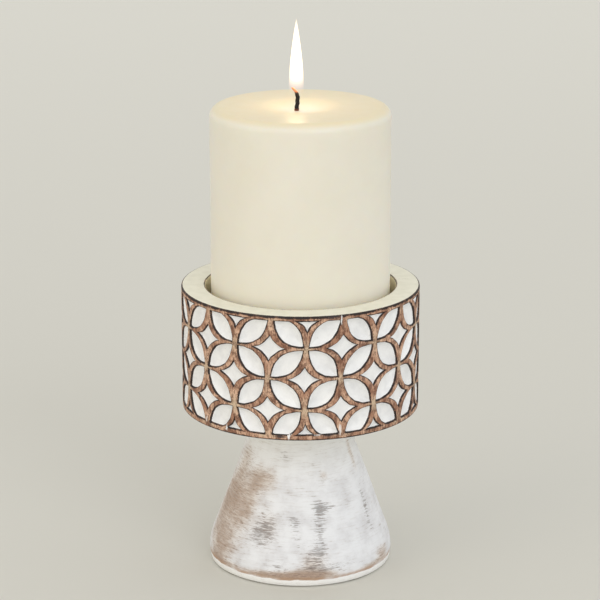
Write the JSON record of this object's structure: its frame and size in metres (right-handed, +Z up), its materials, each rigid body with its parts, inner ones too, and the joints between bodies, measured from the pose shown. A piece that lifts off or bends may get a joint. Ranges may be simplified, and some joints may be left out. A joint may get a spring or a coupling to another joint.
{
  "type": "candlestick",
  "caption": "Turned wooden pillar candlestick: a collar carved with a petal lattice round a shallow cup, on a flared cone foot, with a lift-out candle.",
  "frame": {"origin": "on the table, under the middle of the foot", "axes": "+Z up along the turning axis, towards the wick; -Y is the front of the carved collar"},
  "size_m": [0.1, 0.1, 0.2053],
  "materials": {
    "washed_wood": "white wash rubbed back over brown wood, satin",
    "carved_wood": "sanded bare ribs with burnt edges, pockets filled with off-white paint",
    "painted_wood": "smooth off-white paint, matt",
    "felt": "pressed felt",
    "zinc_steel": "zinc plated",
    "wax": "ivory paraffin wax, soft sheen",
    "wick_cotton": "braided cotton, charred at the top",
    "tin": "thin tinned steel"
  },
  "bodies": {
    "holder": {"foot": "washed_wood", "foot_felt": "felt", "screw_washer": "zinc_steel", "assembly_screw": "zinc_steel", "cup_floor": "painted_wood", "carved_collar": "carved_wood"},
    "candle": {"candle_wax": "wax", "wick": "wick_cotton", "wick_tab": "tin"}
  },
  "joints": [
    {"name": "candle_lift", "type": "slide", "parent": "holder", "child": "candle", "axis": [0, 0, 1], "range_m": [0, 0.04]}
  ]
}
